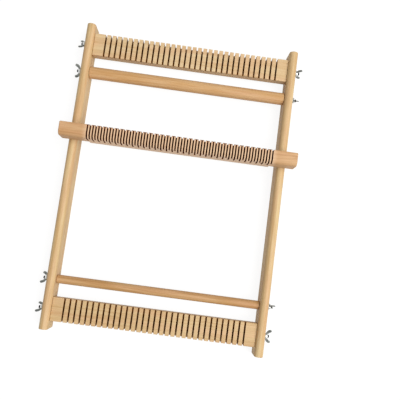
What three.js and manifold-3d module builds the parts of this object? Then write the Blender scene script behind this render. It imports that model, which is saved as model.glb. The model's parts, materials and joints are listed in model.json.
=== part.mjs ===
// A weaving frame for small hands: two side rails carry two slotted comb bars and two plain rods,
// each held at both ends by a stud, a washer and a wing nut, and a kerfed heddle bar lies across
// the rails. Tipping the heddle bar raises one half of the warp threads or the other.
//
// Millimetres. +Z is up and the frame lies flat on its rails, X runs across it and Y along it,
// from the cloth rod's end to the warp rod's end. The origin is on the underside, in the middle.

import * as THREE from 'three';
import { mergeGeometries, mergeVertices } from 'three/addons/utils/BufferGeometryUtils.js';
import Module from 'manifold-3d';

const wasm = await Module();
wasm.setup();

// Thread spacing: every comb slot has one kerf of the heddle bar in line with it and one beside it.
const SLOT_PITCH = 7.2;
const SLOT_COUNT = 33;

// Gap between pieces that turn, or are clamped, against each other.
const CLEARANCE = 0.3;

// Side rails: sawn square at both ends, half round along the front edge.
const RAIL_LENGTH = 402;
const RAIL_WIDTH = 11.4;
const RAIL_SIDE_HEIGHT = 23.3;
const RAIL_ARRIS = 0.8;
const RAIL_OVERHANG = 11;
const STUD_HOLE_DIAMETER = 5;

// Comb bars: the slots are sawn on a slant, shallow at the inner edge and deep at the outer one.
const COMB_WIDTH = 30;
const COMB_THICKNESS = 13;
const COMB_ARRIS = 0.6;
const COMB_END_LAND = 15.3;
const SLOT_WIDTH = 2.1;
const SLOT_INNER_DEPTH = 2;
const SLOT_OUTER_DEPTH = 11.5;

// Plain rods, each set in from its comb bar.
const WARP_ROD_DIAMETER = 16;
const CLOTH_ROD_DIAMETER = 11;
const ROD_SETBACK = 37.5;
const ROD_CHAMFER = 0.8;

// Heddle bar: it lies loose on the rails, a little right of the middle. Its front top edge is well
// rounded, and it tips back on its rounded lower edge.
const HEDDLE_LENGTH = 302;
const HEDDLE_WIDTH = 17.5;
const HEDDLE_HEIGHT = 25.5;
const HEDDLE_CENTRE_X = 0.9;
const HEDDLE_CENTRE_Y = 50.4;
const HEDDLE_FRONT_RADIUS = 6.5;
const HEDDLE_FOOT_RADIUS = 1.2;
const HEDDLE_ARRIS = 0.6;

// Kerfs of the heddle bar, by their depths below its top at its front and back faces. When the bar
// is tipped back by half a right angle, the slanted ones lie level and the others slant.
const KERF_WIDTH = 1.9;
const LEVEL_KERF_FRONT_DEPTH = 7.5;
const LEVEL_KERF_BACK_DEPTH = 8.5;
const SLANTED_KERF_FRONT_DEPTH = 18.5;
const SLANTED_KERF_BACK_DEPTH = 0.8;

// Studs: a hanger bolt with a pointed wood end, which stands out past the nut by a little.
const STUD_DIAMETER = 4;
const STUD_BITE = 12;
const STUD_POINT = 3;
const STUD_STANDS_PROUD = 1;
const STUD_TIP_CHAMFER = 0.5;

// Washers.
const WASHER_DIAMETER = 10;
const WASHER_THICKNESS = 0.8;

// Wing nuts with rounded wings.
const NUT_BASE_DIAMETER = 7.6;
const NUT_TOP_DIAMETER = 6.2;
const NUT_HUB_HEIGHT = 3.6;
const NUT_HEIGHT = 7.4;
const WING_SPAN = 18.2;
const WING_LOBE_RADIUS = 1.8;
const WING_THICKNESS = 1.3;
const WING_ROOT_LOW = 0.4;
const WING_ROOT_HIGH = 3.2;
const WING_SWEEP_SETBACK = 0.9;
const WING_SWEEP_HEIGHT = 0.8;
const WING_HOLLOW_RADIUS = 4.6;
const WING_HOLLOW_HEIGHT = 3.7;

// How far each bar's left and right wing nuts stand turned up from lying along the rail.
const NUT_TURNS_DEGREES = {
  top_comb: [140, 72],
  warp_rod: [22, 108],
  cloth_rod: [140, 75],
  bottom_comb: [127, 18],
};

// Facets round each cylinder, and along each curve of an outline.
const ROD_SIDES = 32;
const SMALL_SIDES = 16;
const RAIL_ROUND_STEPS = 12;
const HEDDLE_ROUND_STEPS = 6;
const WING_CURVE_STEPS = 6;

// How far a cutting solid runs past what it cuts.
const CUT_OVERRUN = 1;

// Sizes that follow from the ones above.
const SLOT_SPAN = (SLOT_COUNT - 1) * SLOT_PITCH;
const BAR_LENGTH = SLOT_SPAN + 2 * COMB_END_LAND;
const RAIL_INNER_X = BAR_LENGTH / 2 + CLEARANCE;
const RAIL_OUTER_X = RAIL_INNER_X + RAIL_WIDTH;
const RAIL_TOP_Z = RAIL_SIDE_HEIGHT + RAIL_WIDTH / 2;
const COMB_CENTRE_Y = RAIL_LENGTH / 2 - RAIL_OVERHANG - COMB_WIDTH / 2;
const ROD_CENTRE_Y = COMB_CENTRE_Y - ROD_SETBACK;
const STUD_Z = RAIL_SIDE_HEIGHT - COMB_THICKNESS / 2;
const BORE_DIAMETER = STUD_DIAMETER + 2 * CLEARANCE;
const WASHER_OUTER_X = RAIL_OUTER_X + WASHER_THICKNESS;
const NUT_SEAT_X = WASHER_OUTER_X + CLEARANCE;
const STUD_END_X = NUT_SEAT_X + NUT_HUB_HEIGHT + STUD_STANDS_PROUD;
const HEDDLE_BOTTOM_Z = RAIL_TOP_Z + CLEARANCE;
const KERF_PITCH = SLOT_PITCH / 2;
const KERF_COUNT = 2 * SLOT_COUNT;

const beechRail = new THREE.MeshStandardMaterial({ color: 0xd9b283, roughness: 0.55, metalness: 0 });
const beechComb = new THREE.MeshStandardMaterial({ color: 0xe1c396, roughness: 0.6, metalness: 0 });
const beechRod = new THREE.MeshStandardMaterial({ color: 0xd2a873, roughness: 0.5, metalness: 0 });
const beechHeddle = new THREE.MeshStandardMaterial({ color: 0xd4ab80, roughness: 0.55, metalness: 0 });
const zincSteel = new THREE.MeshStandardMaterial({ color: 0x9a9c98, roughness: 0.35, metalness: 1 });

// Turns a section drawn in X and Y, drawn out along Z, into one drawn in Y and Z along X.
const ALONG_X = new THREE.Matrix4().makeBasis(
  new THREE.Vector3(0, 1, 0),
  new THREE.Vector3(0, 0, 1),
  new THREE.Vector3(1, 0, 0),
);

function solidFrom(geometry) {
  const bare = geometry.clone();
  bare.deleteAttribute('normal');
  bare.deleteAttribute('uv');
  const merged = mergeVertices(bare, 1e-4);
  return new wasm.Manifold(new wasm.Mesh({
    numProp: 3,
    vertProperties: new Float32Array(merged.attributes.position.array),
    triVerts: new Uint32Array(merged.index.array),
  }));
}

function geometryFrom(solid) {
  const mesh = solid.getMesh();
  const geometry = new THREE.BufferGeometry();
  geometry.setAttribute('position', new THREE.BufferAttribute(mesh.vertProperties, 3));
  geometry.setIndex(new THREE.BufferAttribute(mesh.triVerts, 1));
  geometry.computeVertexNormals();
  return geometry;
}

// A turned solid about the X axis, from [radius, x] pairs listed from its low end to its high end.
function turned(profile, sides) {
  const points = profile.map(([radius, along]) => new THREE.Vector2(radius, along));
  return new THREE.LatheGeometry(points, sides).rotateZ(-Math.PI / 2);
}

function addPiece(group, name, geometry, material) {
  const mesh = new THREE.Mesh(geometry, material);
  mesh.name = name;
  group.add(mesh);
  return mesh;
}

// The rail's section, flat underneath with eased corners and half round on top.
function railSection() {
  const half = RAIL_WIDTH / 2;
  const section = new THREE.Shape();
  section.moveTo(-half, RAIL_ARRIS);
  section.lineTo(-half + RAIL_ARRIS, 0);
  section.lineTo(half - RAIL_ARRIS, 0);
  section.lineTo(half, RAIL_ARRIS);
  section.absarc(0, RAIL_SIDE_HEIGHT, half, 0, Math.PI, false);
  return section;
}

function railGeometry() {
  const bar = new THREE.ExtrudeGeometry(railSection(), {
    depth: RAIL_LENGTH - 2 * RAIL_ARRIS,
    curveSegments: RAIL_ROUND_STEPS,
    bevelThickness: RAIL_ARRIS,
    bevelSize: RAIL_ARRIS,
    bevelOffset: -RAIL_ARRIS,
    bevelSegments: 1,
  });
  bar.translate(0, 0, -(RAIL_LENGTH - 2 * RAIL_ARRIS) / 2).rotateX(Math.PI / 2);
  const reach = RAIL_WIDTH / 2 + CUT_OVERRUN;
  const holes = [-COMB_CENTRE_Y, -ROD_CENTRE_Y, ROD_CENTRE_Y, COMB_CENTRE_Y].map((y) => turned([
    [0, -reach],
    [STUD_HOLE_DIAMETER / 2, -reach],
    [STUD_HOLE_DIAMETER / 2, reach],
    [0, reach],
  ], SMALL_SIDES).translate(0, y, STUD_Z));
  return geometryFrom(solidFrom(bar).subtract(solidFrom(mergeGeometries(holes))));
}

// One end's blind bore for a stud, with its mouth at the bar's end.
function studBore(side) {
  const bottom = BAR_LENGTH / 2 - STUD_BITE - CLEARANCE;
  const mouth = BAR_LENGTH / 2 + CUT_OVERRUN;
  const bore = turned([
    [0, bottom],
    [BORE_DIAMETER / 2, bottom],
    [BORE_DIAMETER / 2, mouth],
    [0, mouth],
  ], SMALL_SIDES);
  return side > 0 ? bore : bore.rotateZ(Math.PI);
}

// A saw cut right across a bar, centred on x and open above. Its floor slants from one depth below
// the bar's top at the -Y face to another at the +Y face.
function sawCut({ x, width, barWidth, barTop, lowYDepth, highYDepth }) {
  const reach = barWidth / 2 + CUT_OVERRUN;
  const middle = barTop - (lowYDepth + highYDepth) / 2;
  const rise = (lowYDepth - highYDepth) * (reach / barWidth);
  const ceiling = barTop + Math.abs(rise) + CUT_OVERRUN;
  const side = new THREE.Shape();
  side.moveTo(-reach, middle - rise);
  side.lineTo(reach, middle + rise);
  side.lineTo(reach, ceiling);
  side.lineTo(-reach, ceiling);
  const cut = new THREE.ExtrudeGeometry(side, { depth: width, bevelEnabled: false });
  return cut.translate(0, 0, x - width / 2).applyMatrix4(ALONG_X);
}

// The comb bar about its own middle, with its outer edge towards +Y and its front face up.
function combGeometry() {
  const halfWidth = COMB_WIDTH / 2;
  const halfThickness = COMB_THICKNESS / 2;
  const section = new THREE.Shape();
  section.moveTo(-halfWidth + COMB_ARRIS, -halfThickness);
  section.lineTo(halfWidth - COMB_ARRIS, -halfThickness);
  section.lineTo(halfWidth, -halfThickness + COMB_ARRIS);
  section.lineTo(halfWidth, halfThickness - COMB_ARRIS);
  section.lineTo(halfWidth - COMB_ARRIS, halfThickness);
  section.lineTo(-halfWidth + COMB_ARRIS, halfThickness);
  section.lineTo(-halfWidth, halfThickness - COMB_ARRIS);
  section.lineTo(-halfWidth, -halfThickness + COMB_ARRIS);
  const bar = new THREE.ExtrudeGeometry(section, { depth: BAR_LENGTH, bevelEnabled: false });
  bar.translate(0, 0, -BAR_LENGTH / 2).applyMatrix4(ALONG_X);

  const cuts = [];
  for (let i = 0; i < SLOT_COUNT; i += 1) {
    cuts.push(sawCut({
      x: -SLOT_SPAN / 2 + i * SLOT_PITCH,
      width: SLOT_WIDTH,
      barWidth: COMB_WIDTH,
      barTop: halfThickness,
      lowYDepth: SLOT_INNER_DEPTH,
      highYDepth: SLOT_OUTER_DEPTH,
    }));
  }
  const slots = solidFrom(mergeGeometries(cuts));
  const bores = solidFrom(studBore(1)).add(solidFrom(studBore(-1)));
  return geometryFrom(solidFrom(bar).subtract(slots).subtract(bores));
}

// A plain rod about its own axis, chamfered, with a blind bore for a stud in each end.
function rodGeometry(diameter) {
  const end = BAR_LENGTH / 2;
  const bottom = end - STUD_BITE - CLEARANCE;
  const radius = diameter / 2;
  const bore = BORE_DIAMETER / 2;
  return turned([
    [0, -bottom],
    [bore, -bottom],
    [bore, -end],
    [radius - ROD_CHAMFER, -end],
    [radius, -end + ROD_CHAMFER],
    [radius, end - ROD_CHAMFER],
    [radius - ROD_CHAMFER, end],
    [bore, end],
    [bore, bottom],
    [0, bottom],
  ], ROD_SIDES);
}

// The heddle bar above the middle of its underside, with its front face towards -Y. Even kerfs
// match the comb slots and are slanted, and odd ones lie half a pitch beside them and are level.
function heddleGeometry() {
  const half = HEDDLE_WIDTH / 2;
  const foot = HEDDLE_FOOT_RADIUS;
  const front = HEDDLE_FRONT_RADIUS;
  const section = new THREE.Shape();
  section.moveTo(half - foot, 0);
  section.absarc(half - foot, foot, foot, -Math.PI / 2, 0, false);
  section.lineTo(half, HEDDLE_HEIGHT - HEDDLE_ARRIS);
  section.lineTo(half - HEDDLE_ARRIS, HEDDLE_HEIGHT);
  section.lineTo(-half + front, HEDDLE_HEIGHT);
  section.absarc(-half + front, HEDDLE_HEIGHT - front, front, Math.PI / 2, Math.PI, false);
  section.lineTo(-half, foot);
  section.absarc(-half + foot, foot, foot, Math.PI, 1.5 * Math.PI, false);
  const length = HEDDLE_LENGTH - 2 * HEDDLE_ARRIS;
  const bar = new THREE.ExtrudeGeometry(section, {
    depth: length,
    curveSegments: HEDDLE_ROUND_STEPS,
    bevelThickness: HEDDLE_ARRIS,
    bevelSize: HEDDLE_ARRIS,
    bevelOffset: -HEDDLE_ARRIS,
    bevelSegments: 1,
  });
  bar.translate(0, 0, -length / 2).applyMatrix4(ALONG_X);
  const cuts = [];
  for (let i = 0; i < KERF_COUNT; i += 1) {
    const slanted = i % 2 === 0;
    cuts.push(sawCut({
      x: -SLOT_SPAN / 2 + i * KERF_PITCH,
      width: KERF_WIDTH,
      barWidth: HEDDLE_WIDTH,
      barTop: HEDDLE_HEIGHT,
      lowYDepth: slanted ? SLANTED_KERF_FRONT_DEPTH : LEVEL_KERF_FRONT_DEPTH,
      highYDepth: slanted ? SLANTED_KERF_BACK_DEPTH : LEVEL_KERF_BACK_DEPTH,
    }));
  }
  return geometryFrom(solidFrom(bar).subtract(solidFrom(mergeGeometries(cuts))));
}

// A stud along +X with its pointed end in the wood.
function studGeometry() {
  const start = BAR_LENGTH / 2 - STUD_BITE;
  const radius = STUD_DIAMETER / 2;
  return turned([
    [0, start],
    [radius, start + STUD_POINT],
    [radius, STUD_END_X - STUD_TIP_CHAMFER],
    [radius - STUD_TIP_CHAMFER, STUD_END_X],
    [0, STUD_END_X],
  ], SMALL_SIDES);
}

function washerGeometry() {
  const bore = BORE_DIAMETER / 2;
  const rim = WASHER_DIAMETER / 2;
  return turned([
    [bore, RAIL_OUTER_X],
    [rim, RAIL_OUTER_X],
    [rim, WASHER_OUTER_X],
    [bore, WASHER_OUTER_X],
    [bore, RAIL_OUTER_X],
  ], SMALL_SIDES);
}

// A wing nut along +X from its seat: a coned hub, and two wings that sweep out and end in lobes.
function wingNutGeometry() {
  const bore = BORE_DIAMETER / 2;
  const base = NUT_BASE_DIAMETER / 2;
  const top = NUT_TOP_DIAMETER / 2;
  const hub = turned([
    [bore, 0],
    [base, 0],
    [top, NUT_HUB_HEIGHT],
    [bore, NUT_HUB_HEIGHT],
    [bore, 0],
  ], SMALL_SIDES);
  const root = (bore + top) / 2;
  const tip = WING_SPAN / 2;
  const lobeOut = tip - WING_LOBE_RADIUS;
  const lobeUp = NUT_HEIGHT - WING_LOBE_RADIUS;
  const wing = new THREE.Shape();
  wing.moveTo(root, WING_ROOT_LOW);
  wing.quadraticCurveTo(tip - WING_SWEEP_SETBACK, WING_SWEEP_HEIGHT, tip, lobeUp);
  wing.absarc(lobeOut, lobeUp, WING_LOBE_RADIUS, 0, Math.PI, false);
  wing.quadraticCurveTo(WING_HOLLOW_RADIUS, WING_HOLLOW_HEIGHT, root, WING_ROOT_HIGH);
  const wings = [1, -1].map((side) => {
    const plate = new THREE.ExtrudeGeometry(wing, {
      depth: WING_THICKNESS,
      curveSegments: WING_CURVE_STEPS,
      bevelEnabled: false,
    });
    const across = new THREE.Vector3(0, side, 0);
    const outwards = new THREE.Vector3(1, 0, 0);
    const through = across.clone().cross(outwards);
    plate.translate(0, 0, -WING_THICKNESS / 2);
    return plate.applyMatrix4(new THREE.Matrix4().makeBasis(across, outwards, through));
  });
  return geometryFrom(solidFrom(hub).add(solidFrom(mergeGeometries(wings))));
}

const frame = new THREE.Group();
frame.name = 'weaving_frame';

const rail = railGeometry();
const railCentreX = RAIL_INNER_X + RAIL_WIDTH / 2;
addPiece(frame, 'left_rail', rail, beechRail).position.x = -railCentreX;
addPiece(frame, 'right_rail', rail, beechRail).position.x = railCentreX;

const stud = studGeometry();
const washer = washerGeometry();
const wingNut = wingNutGeometry();

// A bar or rod between the rails, with the stud, washer and wing nut that hold each of its ends.
function addClampedBar({ name, geometry, material, centreY, facing, nutTurns }) {
  const clamped = new THREE.Group();
  clamped.position.set(0, centreY, STUD_Z);
  addPiece(clamped, name, geometry, material).rotation.z = facing;
  ['left', 'right'].forEach((side, i) => {
    const half = i === 0 ? Math.PI : 0;
    addPiece(clamped, `${name}_stud_${side}`, stud, zincSteel).rotation.z = half;
    addPiece(clamped, `${name}_washer_${side}`, washer, zincSteel).rotation.z = half;
    const nut = addPiece(clamped, `${name}_wing_nut_${side}`, wingNut, zincSteel);
    nut.position.x = i === 0 ? -NUT_SEAT_X : NUT_SEAT_X;
    nut.rotation.set(THREE.MathUtils.degToRad(nutTurns[i]), 0, half);
  });
  frame.add(clamped);
}

const comb = combGeometry();
const clampedBars = [
  { name: 'top_comb', geometry: comb, material: beechComb, centreY: COMB_CENTRE_Y, facing: 0 },
  {
    name: 'warp_rod',
    geometry: rodGeometry(WARP_ROD_DIAMETER),
    material: beechRod,
    centreY: ROD_CENTRE_Y,
    facing: 0,
  },
  {
    name: 'cloth_rod',
    geometry: rodGeometry(CLOTH_ROD_DIAMETER),
    material: beechRod,
    centreY: -ROD_CENTRE_Y,
    facing: 0,
  },
  {
    name: 'bottom_comb',
    geometry: comb,
    material: beechComb,
    centreY: -COMB_CENTRE_Y,
    facing: Math.PI,
  },
];
clampedBars.forEach((bar) => addClampedBar({ ...bar, nutTurns: NUT_TURNS_DEGREES[bar.name] }));

const heddle = addPiece(frame, 'heddle_rod', heddleGeometry(), beechHeddle);
heddle.position.set(HEDDLE_CENTRE_X, HEDDLE_CENTRE_Y, HEDDLE_BOTTOM_Z);

export default frame;
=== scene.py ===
"""The finish of a weaving frame: beech rails, slotted combs, rods and a kerfed heddle bar, held
together by zinc-plated studs, washers and wing nuts. Metres, +Z up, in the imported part's frame."""

import json
import math

import bmesh
import bpy
import numpy as np
from mathutils import Matrix, Vector

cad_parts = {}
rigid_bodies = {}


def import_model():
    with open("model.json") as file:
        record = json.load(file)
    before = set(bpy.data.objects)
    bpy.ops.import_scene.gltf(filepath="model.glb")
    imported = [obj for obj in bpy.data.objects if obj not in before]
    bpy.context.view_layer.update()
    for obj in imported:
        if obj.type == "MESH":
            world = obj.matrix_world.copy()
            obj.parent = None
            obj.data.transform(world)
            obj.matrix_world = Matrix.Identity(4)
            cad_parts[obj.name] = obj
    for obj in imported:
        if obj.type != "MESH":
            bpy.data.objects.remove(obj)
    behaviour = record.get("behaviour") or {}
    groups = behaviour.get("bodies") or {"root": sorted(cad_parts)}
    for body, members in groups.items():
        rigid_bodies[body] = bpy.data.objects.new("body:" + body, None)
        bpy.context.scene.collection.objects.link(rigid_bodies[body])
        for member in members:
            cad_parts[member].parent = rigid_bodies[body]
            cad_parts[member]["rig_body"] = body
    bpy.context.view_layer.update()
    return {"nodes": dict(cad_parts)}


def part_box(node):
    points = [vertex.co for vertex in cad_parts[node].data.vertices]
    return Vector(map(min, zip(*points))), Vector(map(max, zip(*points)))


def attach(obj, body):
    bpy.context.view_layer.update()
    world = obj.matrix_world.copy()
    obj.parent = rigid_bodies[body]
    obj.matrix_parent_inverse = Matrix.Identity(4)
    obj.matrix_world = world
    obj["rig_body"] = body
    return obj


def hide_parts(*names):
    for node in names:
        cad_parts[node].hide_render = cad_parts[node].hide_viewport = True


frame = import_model()

MM = 0.001

# Sizes that the boxes of the frame's nodes don't give.
SLOT_PITCH = 7.2 * MM
SLOT_COUNT = 33
SLOT_WIDTH = 2.1 * MM
SLOT_DEPTHS = (2 * MM, 11.5 * MM)
SLOT_SPAN = (SLOT_COUNT - 1) * SLOT_PITCH
KERF_PITCH = SLOT_PITCH / 2
KERF_COUNT = 2 * SLOT_COUNT
KERF_WIDTH = 1.9 * MM
LEVEL_KERF_DEPTHS = (7.5 * MM, 8.5 * MM)
SLANTED_KERF_DEPTHS = (18.5 * MM, 0.8 * MM)
HEDDLE_FRONT_RADIUS = 6.5 * MM
HEDDLE_FOOT_RADIUS = 3 * MM
STUD_BITE = 12 * MM
CLEARANCE = 0.3 * MM
STUD_HOLE_RADIUS = 2.5 * MM

# The heddle bar is deeper along its kerfs, where it hangs between the rails. Its CAD node isn't.
# This keel's root reaches up into the bar, and its sides stand in from the bar's by the inset, so
# that the two solids share no plane.
KEEL_LENGTH = 235 * MM
KEEL_DEPTH = 7.2 * MM
KEEL_ROOT = 6 * MM
KEEL_INSET = 0.02 * MM

# How far each kind of edge is rounded.
RAIL_ARRIS = 0.8 * MM
COMB_ARRIS = 0.6 * MM
ROD_ARRIS = 0.8 * MM
HEDDLE_ARRIS = 1.5 * MM
HEDDLE_END_ARRIS = 1.4 * MM
TOOTH_ARRIS = 0.16 * MM
KERF_ARRIS = 0.1 * MM
WASHER_ARRIS = 0.14 * MM
NUT_HUB_ARRIS = 0.3 * MM
WING_ARRIS = 0.5 * MM

# How far a cutting solid runs past what it cuts.
OVERRUN = 1 * MM

# Points of a cut mesh that lie closer than this become one, and faces that meet at less than this
# many degrees become one.
WELD_DISTANCE = 0.002 * MM
FLAT_DEGREES = 0.3

BARS = ("top_comb", "warp_rod", "cloth_rod", "bottom_comb")
ENDS = {"left": -1, "right": 1}


# Mesh helpers

def new_object(name, points, faces):
    mesh = bpy.data.meshes.new(name)
    mesh.from_pydata([tuple(p) for p in points], [], faces)
    obj = bpy.data.objects.new(name, mesh)
    bpy.context.scene.collection.objects.link(obj)
    edit = bmesh.new()
    edit.from_mesh(mesh)
    bmesh.ops.recalc_face_normals(edit, faces=edit.faces)
    edit.to_mesh(mesh)
    edit.free()
    return obj


def apply_modifiers(obj):
    graph = bpy.context.evaluated_depsgraph_get()
    made = bpy.data.meshes.new_from_object(obj.evaluated_get(graph))
    old = obj.data
    obj.modifiers.clear()
    obj.data = made
    bpy.data.meshes.remove(old)


def join(objects):
    """One object from several, which are used up."""
    points, faces = [], []
    for obj in objects:
        start = len(points)
        points += [v.co.copy() for v in obj.data.vertices]
        faces += [[start + i for i in p.vertices] for p in obj.data.polygons]
        bpy.data.objects.remove(obj)
    return new_object("joined", points, faces)


def boolean(obj, other, operation):
    """Cuts the other solid from obj, or adds it, and uses it up."""
    modifier = obj.modifiers.new("boolean", "BOOLEAN")
    modifier.operation = operation
    modifier.solver = "EXACT"
    modifier.object = other
    apply_modifiers(obj)
    bpy.data.objects.remove(other)
    edit = bmesh.new()
    edit.from_mesh(obj.data)
    bmesh.ops.remove_doubles(edit, verts=edit.verts, dist=WELD_DISTANCE)
    flat = math.radians(FLAT_DEGREES)
    bmesh.ops.dissolve_limit(edit, angle_limit=flat, verts=edit.verts, edges=edit.edges)
    edit.to_mesh(obj.data)
    edit.free()


def round_edges(obj, width, segments=3, degrees=30):
    bevel = obj.modifiers.new("arris", "BEVEL")
    bevel.width = width
    bevel.segments = segments
    bevel.limit_method = "ANGLE"
    bevel.angle_limit = math.radians(degrees)
    apply_modifiers(obj)


def smooth(obj, degrees=32):
    obj.data.shade_smooth()
    obj.data.set_sharp_from_angle(angle=math.radians(degrees))
    weights = obj.modifiers.new("weights", "WEIGHTED_NORMAL")
    weights.keep_sharp = True
    apply_modifiers(obj)


def turned(name, profile, sides, closed=False):
    """A solid turned about X from (x, radius) pairs. A radius of 0 is a point on the axis, and a
    closed profile joins its last pair to its first."""
    points, rings, faces = [], [], []
    for x, radius in profile:
        start = len(points)
        count = sides if radius > 0 else 1
        for i in range(count):
            angle = 2 * math.pi * i / sides
            points.append((x, radius * math.cos(angle), radius * math.sin(angle)))
        rings.append(list(range(start, start + count)))
    pairs = list(zip(rings, rings[1:]))
    if closed:
        pairs.append((rings[-1], rings[0]))
    for a, b in pairs:
        for i in range(sides):
            j = (i + 1) % sides
            if len(a) == 1:
                faces.append((a[0], b[i], b[j]))
            elif len(b) == 1:
                faces.append((a[i], a[j], b[0]))
            else:
                faces.append((a[i], a[j], b[j], b[i]))
    return new_object(name, points, faces)


def prism(name, outline, low, high):
    """A solid along X whose section is an outline of (y, z) pairs."""
    count = len(outline)
    points = [(low, y, z) for y, z in outline] + [(high, y, z) for y, z in outline]
    faces = [tuple(range(count)), tuple(range(count, 2 * count))]
    faces += [(i, (i + 1) % count, count + (i + 1) % count, count + i) for i in range(count)]
    return new_object(name, points, faces)


def quarter_round(steps):
    """(inset, back) pairs in units of the radius, from a flat end face out to the full section."""
    angles = [math.pi / 2 * i / steps for i in range(steps + 1)]
    return [(1 - math.sin(a), 1 - math.cos(a)) for a in angles]


def middle_of(node):
    low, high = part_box(node)
    return (low + high) / 2


def size_of(node):
    low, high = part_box(node)
    return high - low


def dress(obj, node, material):
    """Puts obj in the place of the node that it is a finer copy of."""
    obj.name = node + "_piece"
    obj.data.name = obj.name
    obj.data.materials.clear()
    obj.data.materials.append(material)
    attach(obj, frame["nodes"][node]["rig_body"])
    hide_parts(node)


# Wooden pieces

def outline_of(arcs):
    """A bar's section as (point, outward direction) pairs, from arcs that straight runs join, each
    (centre, radius, start degrees, end degrees, steps)."""
    outline = []
    for centre, radius, start, end, steps in arcs:
        for i in range(steps + 1):
            angle = math.radians(start + (end - start) * i / steps)
            out = Vector((math.cos(angle), math.sin(angle)))
            outline.append((Vector(centre) + out * radius, out))
    return outline


def eased_bar(name, outline, length, arris):
    """A bar along X with a section of (y, z) points, its end edges rounded by the arris."""
    far_end = [(length / 2 - arris * back, arris * inset) for inset, back in quarter_round(4)]
    rings = [(-x, inset) for x, inset in far_end] + far_end[::-1]
    points = []
    for x, inset in rings:
        points += [(x, p.x - out.x * inset, p.y - out.y * inset) for p, out in outline]
    count = len(outline)
    faces = [tuple(range(count)), tuple(range(len(points) - count, len(points)))]
    for row in range(len(rings) - 1):
        for i in range(count):
            a = row * count + i
            b = row * count + (i + 1) % count
            faces.append((a, b, b + count, a + count))
    return new_object(name, points, faces)


def saw_cut(x, width, bar_width, top, depths, facing=1):
    """A cut right across a bar, open above. Its floor slants from the first depth below the top to
    the second, towards +Y, or towards -Y where facing is -1."""
    half = bar_width / 2
    slope = (depths[1] - depths[0]) / bar_width
    ceiling = top + OVERRUN + abs(slope) * OVERRUN
    outline = [
        (-facing * (half + OVERRUN), top - depths[0] + slope * OVERRUN),
        (facing * (half + OVERRUN), top - depths[1] - slope * OVERRUN),
        (facing * (half + OVERRUN), ceiling),
        (-facing * (half + OVERRUN), ceiling),
    ]
    return prism("cut", outline, x - width / 2, x + width / 2)


def rail(node):
    """Flat below with eased corners, and half round above."""
    centre, size = middle_of(node), size_of(node)
    half = size.x / 2
    outline = outline_of((
        ((half - RAIL_ARRIS, RAIL_ARRIS), RAIL_ARRIS, -90, 0, 4),
        ((0, size.z - half), half, 0, 180, 48),
        ((-half + RAIL_ARRIS, RAIL_ARRIS), RAIL_ARRIS, 180, 270, 4),
    ))
    obj = eased_bar(node, outline, size.y, RAIL_ARRIS)
    turn = Matrix.Rotation(math.pi / 2, 4, "Z")
    obj.data.transform(Matrix.Translation((centre.x, centre.y, 0)) @ turn)
    holes = []
    for bar in BARS:
        at = middle_of(bar + "_washer_left")
        reach = half + OVERRUN
        hole = turned("hole", [
            (-reach, 0),
            (-reach, STUD_HOLE_RADIUS),
            (reach, STUD_HOLE_RADIUS),
            (reach, 0),
        ], 40)
        hole.data.transform(Matrix.Translation((centre.x, at.y, at.z)))
        holes.append(hole)
    boolean(obj, join(holes), "DIFFERENCE")
    smooth(obj)
    return obj


def bore_radius(node):
    return size_of(node + "_stud_left").y / 2 + CLEARANCE


def comb(node, facing):
    """A slotted bar. facing is 1 where its outer edge is towards +Y, and -1 towards -Y."""
    half = size_of(node) / 2
    outline = [(-half.y, -half.z), (half.y, -half.z), (half.y, half.z), (-half.y, half.z)]
    obj = prism(node, outline, -half.x, half.x)
    round_edges(obj, COMB_ARRIS)
    cuts = []
    for i in range(SLOT_COUNT):
        x = -SLOT_SPAN / 2 + i * SLOT_PITCH
        cuts.append(saw_cut(x, SLOT_WIDTH, 2 * half.y, half.z, SLOT_DEPTHS, facing))
    for end in ENDS.values():
        cuts.append(turned("bore", [
            (end * (half.x - STUD_BITE - CLEARANCE), 0),
            (end * (half.x - STUD_BITE - CLEARANCE), bore_radius(node)),
            (end * (half.x + OVERRUN), bore_radius(node)),
            (end * (half.x + OVERRUN), 0),
        ], 32))
    boolean(obj, join(cuts), "DIFFERENCE")
    round_edges(obj, TOOTH_ARRIS, segments=2, degrees=35)
    smooth(obj)
    obj.data.transform(Matrix.Translation(middle_of(node)))
    return obj


def rod(node):
    half = size_of(node) / 2
    radius, bore = half.z, bore_radius(node)
    bottom = half.x - STUD_BITE - CLEARANCE
    end = [(half.x, bore)]
    end += [(half.x - ROD_ARRIS * back, radius - ROD_ARRIS * inset)
            for inset, back in quarter_round(5)]
    half_profile = [(bottom, 0), (bottom, bore)] + end
    mirrored = [(-x, r) for x, r in half_profile]
    obj = turned(node, mirrored + half_profile[::-1], 96)
    smooth(obj)
    obj.data.transform(Matrix.Translation(middle_of(node)))
    return obj


def heddle_outline(half, low, high, front):
    """A section of the heddle bar, with the radius of its front top edge."""
    foot, back = HEDDLE_FOOT_RADIUS, HEDDLE_ARRIS
    return outline_of((
        ((half - foot, low + foot), foot, -90, 0, 6),
        ((half - back, high - back), back, 0, 90, 5),
        ((-half + front, high - front), front, 90, 180, 20),
        ((-half + foot, low + foot), foot, 180, 270, 6),
    ))


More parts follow.
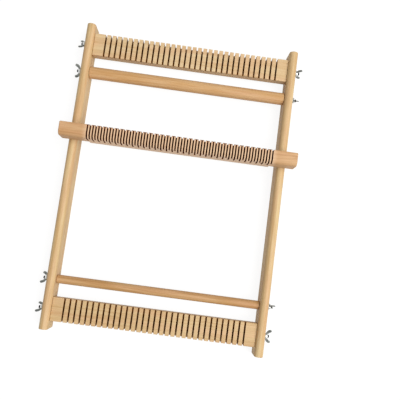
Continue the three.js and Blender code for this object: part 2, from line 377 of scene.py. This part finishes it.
def heddle(node):
    """The bar with its keel. Its even kerfs are slanted and its odd ones nearly level."""
    centre, size = middle_of(node), size_of(node)
    half, high = size.y / 2, size.z / 2
    outline = heddle_outline(half, -high, high, HEDDLE_FRONT_RADIUS)
    obj = eased_bar(node, outline, size.x, HEDDLE_END_ARRIS)
    outline = heddle_outline(half - KEEL_INSET, -high - KEEL_DEPTH, KEEL_ROOT - high, HEDDLE_ARRIS)
    keel = eased_bar("keel", outline, KEEL_LENGTH, HEDDLE_END_ARRIS)
    keel.data.transform(Matrix.Translation((KERF_PITCH / 2, 0, 0)))
    boolean(obj, keel, "UNION")
    cuts = []
    for i in range(KERF_COUNT):
        x = -SLOT_SPAN / 2 + i * KERF_PITCH
        depths = LEVEL_KERF_DEPTHS if i % 2 else SLANTED_KERF_DEPTHS
        cuts.append(saw_cut(x, KERF_WIDTH, size.y, high, depths))
    boolean(obj, join(cuts), "DIFFERENCE")
    round_edges(obj, KERF_ARRIS, segments=2, degrees=35)
    smooth(obj)
    obj.data.transform(Matrix.Translation(centre))
    return obj


# Fasteners

FASTENER_BORE_RADIUS = STUD_HOLE_RADIUS - CLEARANCE / 2
STUD_TIP_CHAMFER = 0.5 * MM
MACHINE_PITCH = 0.7 * MM
MACHINE_DEPTH = 0.4 * MM
WOOD_PITCH = 1.8 * MM
WOOD_DEPTH = 0.5 * MM
WOOD_POINT = 3 * MM
PLAIN_SHANK = 12 * MM

# The wood thread's radius at its very point, as a share of the stud's, and its greatest depth, as
# a share of its own radius there.
WOOD_TIP_SHARE = 0.12
WOOD_DEPTH_SHARE = 0.4

# How far apart the rings of points stand along each stretch of a stud.
MACHINE_STEP = 0.05 * MM
WOOD_STEP = 0.2 * MM
PLAIN_STEP = 2 * MM

NUT_BASE_RADIUS = 3.8 * MM
NUT_TOP_RADIUS = 3.1 * MM
NUT_HUB_HEIGHT = 2.6 * MM
WING_SPAN = 18.2 * MM
WING_LOBE_RADIUS = 1.8 * MM
WING_THICKNESS = 1.3 * MM
WING_ROOT_LOW = 0.4 * MM
WING_ROOT_HIGH = 3 * MM
WING_SWEEP = (0.9 * MM, 0.8 * MM)
WING_HOLLOW = (4.6 * MM, 3.7 * MM)
CAST_VOXEL = 0.22 * MM


def threaded(name, stretches, sides):
    """A solid about X made of stretches, each (start, end, step, radius at x and turn)."""
    points, faces, rings = [], [], 0
    for start, end, step, radius_at in stretches:
        count = max(1, round((end - start) / step))
        for k in range(count):
            x = start + (end - start) * k / count
            for i in range(sides):
                turn = i / sides
                radius = radius_at(x, turn)
                angle = 2 * math.pi * turn
                points.append((x, radius * math.cos(angle), radius * math.sin(angle)))
            rings += 1
    for row in range(rings - 1):
        for i in range(sides):
            a = row * sides + i
            b = row * sides + (i + 1) % sides
            faces.append((a, b, b + sides, a + sides))
    faces += [tuple(range(sides)), tuple(range(len(points) - sides, len(points)))]
    return new_object(name, points, faces)


def stud(node, side):
    """A hanger bolt: a pointed wood thread, a plain shank in the rail and a machine thread."""
    low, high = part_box(node)
    start, end = sorted((abs(low.x), abs(high.x)))
    radius = (high.y - low.y) / 2
    tip = start + WOOD_POINT
    shank = start + STUD_BITE
    thread = shank + PLAIN_SHANK

    def wood(x, turn):
        crest = radius * min(1, WOOD_TIP_SHARE + (x - start) / WOOD_POINT)
        phase = (x / WOOD_PITCH - turn) % 1
        depth = min(WOOD_DEPTH, crest * WOOD_DEPTH_SHARE)
        return crest - depth * min(1, 4 * abs(phase - 0.5))

    def plain(x, turn):
        return radius - MACHINE_DEPTH / 2

    def machine(x, turn):
        phase = (x / MACHINE_PITCH - turn) % 1
        flank = min(1, max(0, 2.6 * abs(phase - 0.5) - 0.15))
        limit = radius - max(0, x - (end - STUD_TIP_CHAMFER))
        return min(radius - MACHINE_DEPTH * flank, limit)

    obj = threaded(node, [
        (start, tip, WOOD_STEP, wood),
        (tip, shank, WOOD_STEP, wood),
        (shank, thread, PLAIN_STEP, plain),
        (thread, end + MACHINE_STEP, MACHINE_STEP, machine),
    ], 40)
    smooth(obj, 50)
    return place_at_end(obj, node, side)


def washer(node, side):
    low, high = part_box(node)
    inner, outer = sorted((abs(low.x), abs(high.x)))
    rim = (high.z - low.z) / 2
    profile = []
    corners = (
        (outer, rim, -1, -1),
        (inner, rim, 1, -1),
        (inner, FASTENER_BORE_RADIUS, 1, 1),
        (outer, FASTENER_BORE_RADIUS, -1, 1),
    )
    for x, radius, x_way, r_way in corners:
        steps = quarter_round(3)
        if x_way * r_way > 0:
            steps = [(b, a) for a, b in steps]
        profile += [(x + x_way * WASHER_ARRIS * a, radius + r_way * WASHER_ARRIS * b)
                    for a, b in steps]
    obj = turned(node, profile, 64, closed=True)
    smooth(obj)
    return place_at_end(obj, node, side)


def place_at_end(obj, node, side, seat=0.0, turn=0.0):
    """Moves a fastener made about +X to its end of its bar. Its own axes stay with it."""
    centre = middle_of(node)
    facing = Matrix.Rotation(0 if side > 0 else math.pi, 4, "Z")
    seated = Matrix.Translation((seat, 0, 0)) @ Matrix.Rotation(turn, 4, "X")
    obj.matrix_world = Matrix.Translation((0, centre.y, centre.z)) @ facing @ seated
    return obj


def wing_outline(tip, height):
    """One wing of a nut as (across, outward) pairs, from its root out round its lobe and back."""
    root = (NUT_TOP_RADIUS + STUD_HOLE_RADIUS) / 2
    lobe = (tip - WING_LOBE_RADIUS, height - WING_LOBE_RADIUS)
    lower = [(root, WING_ROOT_LOW), (tip - WING_SWEEP[0], WING_SWEEP[1]), (tip, lobe[1])]
    upper = [(lobe[0] - WING_LOBE_RADIUS, lobe[1]), WING_HOLLOW, (root, WING_ROOT_HIGH)]
    outline = curve(lower, 10)
    for i in range(1, 16):
        angle = math.pi * i / 16
        outline.append((
            lobe[0] + WING_LOBE_RADIUS * math.cos(angle),
            lobe[1] + WING_LOBE_RADIUS * math.sin(angle),
        ))
    return outline + curve(upper, 10)


def curve(points, steps):
    """Points along the quadratic curve from the first point to the third, drawn by the second."""
    (ax, ay), (bx, by), (cx, cy) = points
    made = []
    for i in range(steps + 1):
        t = i / steps
        u = 1 - t
        made.append((
            u * u * ax + 2 * u * t * bx + t * t * cx,
            u * u * ay + 2 * u * t * by + t * t * cy,
        ))
    return made


def wing_nut_blank():
    """A pressed wing nut along +X from its seat, its wings along Y, with its fillets blended."""
    height = size_of("warp_rod_wing_nut_right").x
    hub = turned("hub", [
        (0, 0),
        (0, NUT_BASE_RADIUS),
        (NUT_HUB_HEIGHT, NUT_TOP_RADIUS),
        (NUT_HUB_HEIGHT, 0),
    ], 64)
    round_edges(hub, NUT_HUB_ARRIS, degrees=40)
    for side in (1, -1):
        outline = wing_outline(WING_SPAN / 2, height)
        half = WING_THICKNESS / 2
        count = len(outline)
        points = [(x, side * y, -half) for y, x in outline]
        points += [(x, side * y, half) for y, x in outline]
        faces = [tuple(range(count)), tuple(range(count, 2 * count))]
        faces += [(i, (i + 1) % count, count + (i + 1) % count, count + i)
                  for i in range(count)]
        wing = new_object("wing", points, faces)
        round_edges(wing, WING_ARRIS, segments=4, degrees=40)
        boolean(hub, wing, "UNION")
    remesh = hub.modifiers.new("cast", "REMESH")
    remesh.mode = "VOXEL"
    remesh.voxel_size = CAST_VOXEL
    relax = hub.modifiers.new("relax", "SMOOTH")
    relax.factor = 0.5
    relax.iterations = 6
    apply_modifiers(hub)
    bore = turned("bore", [
        (-OVERRUN, 0),
        (-OVERRUN, FASTENER_BORE_RADIUS),
        (NUT_HUB_HEIGHT + OVERRUN, FASTENER_BORE_RADIUS),
        (NUT_HUB_HEIGHT + OVERRUN, 0),
    ], 48)
    boolean(hub, bore, "DIFFERENCE")
    smooth(hub, 50)
    return hub


def wings_turned_by(node):
    """The angle of the node's wings about X, from Y towards Z."""
    centre = middle_of(node)
    points = np.array([v.co - centre for v in frame["nodes"][node].data.vertices])[:, 1:]
    directions = np.linalg.eigh(points.T @ points)[1]
    y, z = directions[:, -1]
    return math.atan2(z, y)


def wing_nut(blank, node, side):
    low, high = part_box(node)
    seat = min(abs(low.x), abs(high.x))
    obj = blank.copy()
    obj.data = blank.data.copy()
    bpy.context.scene.collection.objects.link(obj)
    return place_at_end(obj, node, side, seat, side * wings_turned_by(node))


# Materials

def tone(red, green, blue):
    """A colour given in 0 to 255 steps of a screen's scale, as the linear one that nodes take."""
    shares = [c / 255 for c in (red, green, blue)]
    linear = [c / 12.92 if c <= 0.04045 else ((c + 0.055) / 1.055) ** 2.4 for c in shares]
    return (*linear, 1)


def map_tones(tones):
    return [tone(*t) for t in tones]


class Graph:
    """A node tree. Each call adds a node and gives its output socket."""

    def __init__(self, tree):
        tree.nodes.clear()
        self.tree = tree

    def add(self, kind, inputs=(), output=0, **settings):
        node = self.tree.nodes.new("ShaderNode" + kind)
        for name, value in settings.items():
            setattr(node, name, value)
        for socket, value in dict(inputs).items():
            if isinstance(value, bpy.types.NodeSocket):
                self.tree.links.new(value, node.inputs[socket])
            else:
                node.inputs[socket].default_value = value
        return node.outputs[output]

    def math(self, operation, *values):
        return self.add("Math", enumerate(values), operation=operation)

    def split(self, vector):
        return self.add("SeparateXYZ", {0: vector}).node.outputs[:]

    def vector(self, x, y, z):
        return self.add("CombineXYZ", {0: x, 1: y, 2: z})

    def stretched(self, along, across, deep, length, width):
        """Coordinates in which a feature is so long along the grain and so wide across it."""
        return self.vector(
            self.math("DIVIDE", along, length),
            self.math("DIVIDE", across, width),
            self.math("DIVIDE", deep, width),
        )

    def noise(self, vector, detail=2.0, roughness=0.5, output=0):
        inputs = {"Vector": vector, "Scale": 1.0, "Detail": detail, "Roughness": roughness}
        return self.add("TexNoise", inputs, output)

    def ramp(self, value, low, high, start=0.0, end=1.0):
        inputs = {0: value, 1: low, 2: high, 3: start, 4: end}
        return self.add("MapRange", inputs, interpolation_type="SMOOTHSTEP")

    def mix(self, factor, a, b, blend="MIX"):
        inputs = {0: factor, 6: a, 7: b}
        return self.add("Mix", inputs, 2, data_type="RGBA", blend_type=blend)

    def surface(self, shader):
        output = self.tree.nodes.new("ShaderNodeOutputMaterial")
        self.tree.links.new(shader, output.inputs["Surface"])


def new_material(name):
    """A material, its graph, and the piece's own coordinates in mm."""
    material = bpy.data.materials.new(name)
    material.use_nodes = True
    g = Graph(material.node_tree)
    coordinates = g.add("TexCoord", output="Object")
    place = g.add("VectorMath", {0: coordinates, "Scale": 1 / MM}, operation="SCALE")
    return material, g, place


# All in mm: the width of a year ring, the depths between which a kerf's painted shade grows from
# none to full, and the distances from a comb's outer edge between which a slot's painted shade does.
RING_WIDTH = 2.1
KERF_PAINTED_SHADE_FADE = (0.05, 0.35)
SLOT_PAINTED_SHADE_FADE = (1, 11)

# How pale painted light makes the heddle bar's front face, and the rest of its kerfed stretch.
PAINTED_LIGHT_FRONT_SHARE = 0.92
PAINTED_LIGHT_TOP_SHARE = 0.55
BLUSH_TONE = (226, 172, 134)
FLECK_TONE = (150, 98, 58)
PORE_TONE = (150, 105, 66)
# The pale tone of that painted light.
PAINTED_LIGHT_TONE = (246, 210, 174)
WOOD_SHINE = 0.5


def wood(name, grain, heart, tones, shade_tones=None, shade_in_cuts=None, painted_light=None):
    """Beech with its grain along an axis. heart is where the tree's middle lay, in mm, as
    (across, deep). The next three arguments give the dark brown tones of painted shade, the socket
    that is
    1 where shade is painted into cuts, and the one for how far painted light makes the wood pale."""
    light, middle, deep_tone = map_tones(tones)
    material, g, place = new_material(name)
    x, y, z = g.split(place)
    along, across = (x, y) if grain == "X" else (y, x)
    across = g.math("SUBTRACT", across, heart[0])
    deep = g.math("SUBTRACT", z, heart[1])

    sway = g.split(g.noise(g.stretched(along, across, deep, 110, 26), output=1))
    across_bent = g.math("MULTIPLY_ADD", sway[0], 9.0, across)
    deep_bent = g.math("MULTIPLY_ADD", sway[1], 9.0, deep)
    squares = g.math("ADD", g.math("MULTIPLY", across_bent, across_bent),
                     g.math("MULTIPLY", deep_bent, deep_bent))
    radius = g.math("SQRT", squares)
    phase = g.math("FRACT", g.math("DIVIDE", radius, RING_WIDTH))
    late_wood = g.math("POWER", phase, 3.0)

    fibre = g.noise(g.stretched(along, across, deep, 14, 0.4), detail=4, roughness=0.6)
    streak = g.noise(g.stretched(along, across, deep, 60, 2.4), detail=3)
    patch = g.noise(g.stretched(along, across, deep, 55, 11), detail=2)

    rays = g.add("TexVoronoi", {
        "Vector": g.stretched(along, across, deep, 2.8, 0.55),
        "Scale": 1.0,
    })
    fleck = g.ramp(rays, 0.08, 0.24, 1.0, 0.0)

    normal = g.add("TexCoord", output="Normal")
    facing = g.split(normal)[0 if grain == "X" else 1]
    end_grain = g.ramp(g.math("ABSOLUTE", facing), 0.55, 0.85)
    pores = g.noise(g.stretched(along, across, deep, 1.0, 0.16), detail=1)

    blush = g.noise(g.stretched(along, across, deep, 70, 9), detail=1, output=1)
    colour = g.mix(g.ramp(patch, 0.3, 0.7), light, middle)
    blush_share = g.ramp(g.split(blush)[2], 0.45, 0.65, 0.0, 0.3)
    colour = g.mix(blush_share, colour, tone(*BLUSH_TONE))
    colour = g.mix(g.ramp(streak, 0.42, 0.75, 0.0, 0.75), colour, deep_tone)
    colour = g.mix(g.math("MULTIPLY", late_wood, 0.28), colour, deep_tone)
    colour = g.mix(g.ramp(fibre, 0.3, 0.7, 0.16, 0.0), colour, deep_tone, "MULTIPLY")
    plain_grain = g.math("SUBTRACT", 1.0, end_grain)
    fleck_share = g.math("MULTIPLY", g.math("MULTIPLY", fleck, plain_grain), 0.5)
    colour = g.mix(fleck_share, colour, tone(*FLECK_TONE))
    end_colour = g.mix(g.ramp(pores, 0.35, 0.6), tone(*PORE_TONE), colour)
    colour = g.mix(g.math("MULTIPLY", end_grain, 0.75), colour, end_colour)
    roughness = g.ramp(fibre, 0.2, 0.8, 0.5, 0.62)
    shine = WOOD_SHINE
    # Painted light: where this mask says, the wood is painted pale.
    if painted_light:
        colour = g.mix(painted_light(g, x, y), colour, tone(*PAINTED_LIGHT_TONE))
    # Painted shade: the walls and floors of cuts take dark brown tones and lose their shine.
    if shade_in_cuts:
        shade_share = shade_in_cuts(g, x, y, z, normal)
        colour = g.mix(shade_share, colour, g.mix(g.ramp(streak, 0.3, 0.7), *map_tones(shade_tones)))
        shine = g.math("MULTIPLY_ADD", shade_share, -WOOD_SHINE, WOOD_SHINE)

    height = g.math("MULTIPLY_ADD", fleck_share, -0.8, fibre)
    height = g.math("MULTIPLY_ADD", g.math("MULTIPLY", end_grain, pores), 0.6, height)
    bump = g.add("Bump", {"Height": height, "Strength": 0.35, "Distance": 0.08 * MM})
    g.surface(g.add("BsdfPrincipled", {
        "Base Color": colour,
        "Roughness": roughness,
        "Specular IOR Level": shine,
        "Normal": bump,
    }))
    return material


def heddle_light_and_shade_marks(node):
    """Two masks for the stretch of the heddle bar that has kerfs. The first gives painted shade to
    what lies inside its top, front and back. The second says how far painted light makes it pale,
    most on its front face."""
    low, high = (Vector(corner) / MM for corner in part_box(node))
    radius = HEDDLE_FRONT_RADIUS / MM
    first = (low.x + high.x) / 2 - SLOT_SPAN / 2 / MM
    reach = KERF_COUNT * KERF_PITCH / 2 / MM
    middle = first + reach - KERF_PITCH / 2 / MM

    def painted_shade_mask(g, x, y, z, normal):
        towards_front = g.math("MAXIMUM", g.math("SUBTRACT", low.y + radius, y), 0.0)
        towards_top = g.math("MAXIMUM", g.math("SUBTRACT", z, high.z - radius), 0.0)
        squares = g.math("ADD", g.math("MULTIPLY", towards_front, towards_front),
                         g.math("MULTIPLY", towards_top, towards_top))
        from_corner = g.math("SUBTRACT", radius, g.math("SQRT", squares))
        from_back = g.math("SUBTRACT", high.y, y)
        inside = g.ramp(g.math("MINIMUM", from_corner, from_back), *KERF_PAINTED_SHADE_FADE)
        above = g.math("GREATER_THAN", z, high.z - SLANTED_KERF_DEPTHS[0] / MM - 1)
        near = g.math("LESS_THAN", from_middle(g, x), reach)
        return g.math("MULTIPLY", g.math("MULTIPLY", inside, above), near)

    def from_middle(g, x):
        return g.math("ABSOLUTE", g.math("SUBTRACT", x, middle))

    def painted_light(g, x, y):
        near = g.ramp(from_middle(g, x), reach - 3, reach + 6, 1.0, 0.0)
        share = g.ramp(y, low.y + 0.5, low.y + 3, PAINTED_LIGHT_FRONT_SHARE, PAINTED_LIGHT_TOP_SHARE)
        return g.math("MULTIPLY", near, share)

    return painted_shade_mask, painted_light


def comb_slot_painted_shade(node, facing):
    """A mask of painted shade for the walls and floors of a comb's slots, fading towards its outer
    edge.
    """
    low, high = (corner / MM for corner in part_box(node))
    outer = high.y if facing > 0 else low.y
    top = high.z
    reach = SLOT_SPAN / 2 / MM + SLOT_PITCH / MM

    def painted_shade_mask(g, x, y, z, normal):
        wall = g.ramp(g.math("ABSOLUTE", g.split(normal)[0]), 0.6, 0.9)
        up = g.ramp(g.split(normal)[2], 0.5, 0.8)
        below = g.ramp(z, top - 1.2, top - 0.3, 1.0, 0.0)
        cut = g.math("MAXIMUM", wall, g.math("MULTIPLY", up, below))
        near = g.math("LESS_THAN", g.math("ABSOLUTE", x), reach)
        inset = g.math("ABSOLUTE", g.math("SUBTRACT", y, outer))
        share = g.math("MULTIPLY", near, g.ramp(inset, *SLOT_PAINTED_SHADE_FADE))
        return g.math("MULTIPLY", cut, share)

    return painted_shade_mask


def zinc(name, dark, light, hub=None):
    """Zinc plating, dulled and mottled by handling. hub is the tone of a painted highlight near the
    piece's own axis.
    """
    material, g, place = new_material(name)
    mottle = g.add("TexNoise", {"Vector": place, "Scale": 0.6, "Detail": 4.0})
    grit = g.add("TexNoise", {"Vector": place, "Scale": 7.0, "Detail": 2.0})
    colour = g.mix(g.ramp(mottle, 0.35, 0.65), tone(*dark), tone(*light))
    # Painted highlight: the hub is painted pale, except where the wings stand.
    if hub:
        off_axis = g.add("VectorMath", {0: place, 1: (0, 1, 1)}, operation="MULTIPLY")
        radius = g.add("VectorMath", {0: off_axis}, 1, operation="LENGTH")
        hub_highlight_share = g.ramp(radius, NUT_TOP_RADIUS / MM, NUT_BASE_RADIUS / MM + 0.4, 1.0, 0.0)
        off_wings = g.ramp(g.math("ABSOLUTE", g.split(place)[2]), 0.7, 1.3)
        colour = g.mix(g.math("MULTIPLY", hub_highlight_share, off_wings), colour, tone(*hub))
    roughness = g.math("MULTIPLY_ADD", grit, 0.2, g.ramp(mottle, 0.3, 0.7, 0.22, 0.34))
    bump = g.add("Bump", {"Height": grit, "Strength": 0.2, "Distance": 0.03 * MM})
    g.surface(g.add("BsdfPrincipled", {
        "Base Color": colour,
        "Metallic": 1.0,
        "Roughness": roughness,
        "Normal": bump,
    }))
    return material


# Every piece in its place

RAIL_TONES = ((229, 203, 153), (219, 185, 133), (200, 158, 101))
# The top comb's tones are lighter than the bottom comb's: painted light, brighter towards +Y.
COMB_TONES_WITH_PAINTED_LIGHT = {
    "top_comb": ((234, 207, 162), (226, 195, 147), (209, 171, 120)),
    "bottom_comb": ((226, 196, 147), (217, 184, 133), (200, 161, 108)),
}
# The warp rod's tones are lighter than the cloth rod's: painted light, brighter towards +Y.
ROD_TONES_WITH_PAINTED_LIGHT = {
    "warp_rod": ((226, 187, 138), (215, 169, 111), (196, 144, 84)),
    "cloth_rod": ((212, 173, 120), (200, 154, 97), (182, 131, 74)),
}
HEDDLE_TONES = ((226, 186, 138), (213, 166, 115), (190, 139, 88))
# The dark brown tones of the painted shade in the combs' slots and in the heddle bar's kerfs.
COMB_PAINTED_SHADE_TONES = ((118, 72, 22), (154, 100, 44))
HEDDLE_PAINTED_SHADE_TONES = ((104, 40, 4), (136, 62, 12))

rail_hearts = {"left_rail": (-165, -40), "right_rail": (170, -35)}
for node, heart in rail_hearts.items():
    dress(rail(node), node, wood(node + "_beech", "Y", heart, RAIL_TONES))

for node, facing, heart in (("top_comb", 1, (150, -45)), ("bottom_comb", -1, (-200, -38))):
    # Each comb gets painted shade in its slots.
    tones, shade_in_cuts = COMB_TONES_WITH_PAINTED_LIGHT[node], comb_slot_painted_shade(node, facing)
    material = wood(node + "_beech", "X", heart, tones, COMB_PAINTED_SHADE_TONES, shade_in_cuts)
    dress(comb(node, facing), node, material)

for node, heart in (("warp_rod", (112, 2)), ("cloth_rod", (-158, 40))):
    dress(rod(node), node, wood(node + "_beech", "X", heart, ROD_TONES_WITH_PAINTED_LIGHT[node]))

# The heddle bar's wood gets painted shade in its kerfs and painted light along its kerfed stretch.
heddle_wood = wood("heddle_beech", "X", (28, 20), HEDDLE_TONES, HEDDLE_PAINTED_SHADE_TONES,
                   *heddle_light_and_shade_marks("heddle_rod"))
dress(heddle("heddle_rod"), "heddle_rod", heddle_wood)

# Painted shade: the studs' zinc is nearly black, standing in for the shade at the nuts' bores.
stud_metal_painted_shade = zinc("stud_zinc_painted_shade", (22, 22, 22), (52, 52, 50))
washer_metal = zinc("washer_zinc", (150, 152, 152), (196, 196, 190))
# The nuts' hubs carry a pale painted highlight.
nut_metal_painted_highlight = zinc("nut_zinc", (84, 88, 86), (142, 144, 138), hub=(226, 226, 222))
nut_blank = wing_nut_blank()
for bar in BARS:
    for end, side in ENDS.items():
        for kind, make, metal in (("stud", stud, stud_metal_painted_shade), ("washer", washer, washer_metal)):
            node = f"{bar}_{kind}_{end}"
            dress(make(node, side), node, metal)
        node = f"{bar}_wing_nut_{end}"
        dress(wing_nut(nut_blank, node, side), node, nut_metal_painted_highlight)
bpy.data.objects.remove(nut_blank)


# Camera

CAMERA_PLACE = Vector((25.6, -80.5, 677.4)) * MM
CAMERA_AIM = Vector((37.3, -13.15, 23.3)) * MM
CAMERA_ROLL = math.radians(-7.57)
CAMERA_LENS = 45.56
CAMERA_SENSOR = 36


def add_camera():
    forward = (CAMERA_AIM - CAMERA_PLACE).normalized()
    level = Vector((0, 1, 0))
    level = (level - forward * forward.dot(level)).normalized()
    up = level * math.cos(CAMERA_ROLL) + forward.cross(level) * math.sin(CAMERA_ROLL)
    right = forward.cross(up)
    data = bpy.data.cameras.new("camera")
    data.sensor_width = CAMERA_SENSOR
    data.lens = CAMERA_LENS
    data.clip_start = 0.01
    data.clip_end = 20
    camera = bpy.data.objects.new("camera", data)
    bpy.context.scene.collection.objects.link(camera)
    turn = Matrix((right, up, -forward)).transposed().to_4x4()
    camera.matrix_world = Matrix.Translation(CAMERA_PLACE) @ turn
    bpy.context.scene.camera = camera


# Light, floor and backdrop

FLOOR_DROP = 0.05 * MM
FLOOR_HALF = 3.0
FLOOR_SHADE = 0.16
FLOOR_GLOW = 0.9
FLOOR_BOUNCE = 0.5
FILL_STRENGTH = 0.39
KEY_PLACE = Vector((1.3, -0.2, 2.0))
KEY_POWER = 48
KEY_SIZE = 1.8


def grey(level):
    return (level, level, level, 1)


def seen_directly(g):
    """1 for what the camera sees, also in a reflection or through glass."""
    seen = g.add("LightPath", output="Is Camera Ray")
    for name in ("Is Glossy Ray", "Is Transmission Ray"):
        seen = g.math("MAXIMUM", seen, g.add("LightPath", output=name))
    return seen


def add_floor():
    """Nearly white where it is seen, with the shadow that falls on it, and grey to the object."""
    half = FLOOR_HALF
    points = [(-half, -half, 0), (half, -half, 0), (half, half, 0), (-half, half, 0)]
    floor = new_object("floor", points, [(0, 1, 2, 3)])
    floor.location.z = -FLOOR_DROP
    material = bpy.data.materials.new("pale_floor")
    material.use_nodes = True
    g = Graph(material.node_tree)
    faint = g.add("BsdfDiffuse", {"Color": grey(FLOOR_SHADE)})
    glow = g.add("Emission", {"Color": grey(1), "Strength": FLOOR_GLOW})
    bright = g.add("AddShader", {0: faint, 1: glow})
    plain = g.add("BsdfDiffuse", {"Color": grey(FLOOR_BOUNCE)})
    g.surface(g.add("MixShader", {0: seen_directly(g), 1: plain, 2: bright}))
    floor.data.materials.append(material)


def add_key_lamp():
    """A broad lamp aimed at the middle of the frame."""
    data = bpy.data.lights.new("key", "AREA")
    data.energy = KEY_POWER
    data.size = KEY_SIZE
    lamp = bpy.data.objects.new("key", data)
    bpy.context.scene.collection.objects.link(lamp)
    lamp.location = KEY_PLACE
    lamp.rotation_mode = "QUATERNION"
    lamp.rotation_quaternion = (-KEY_PLACE).to_track_quat("-Z", "Y")


def add_world():
    """A fill light on the object, and white where it is seen."""
    world = bpy.data.worlds.new("studio")
    bpy.context.scene.world = world
    world.use_nodes = True
    g = Graph(world.node_tree)
    fill = g.add("Background", {"Color": grey(1), "Strength": FILL_STRENGTH})
    white = g.add("Background", {"Color": grey(1), "Strength": 1.0})
    mixed = g.add("MixShader", {0: seen_directly(g), 1: fill, 2: white})
    output = g.tree.nodes.new("ShaderNodeOutputWorld")
    g.tree.links.new(mixed, output.inputs["Surface"])


add_camera()
add_floor()
add_world()
add_key_lamp()
bpy.context.scene.view_settings.view_transform = "Standard"
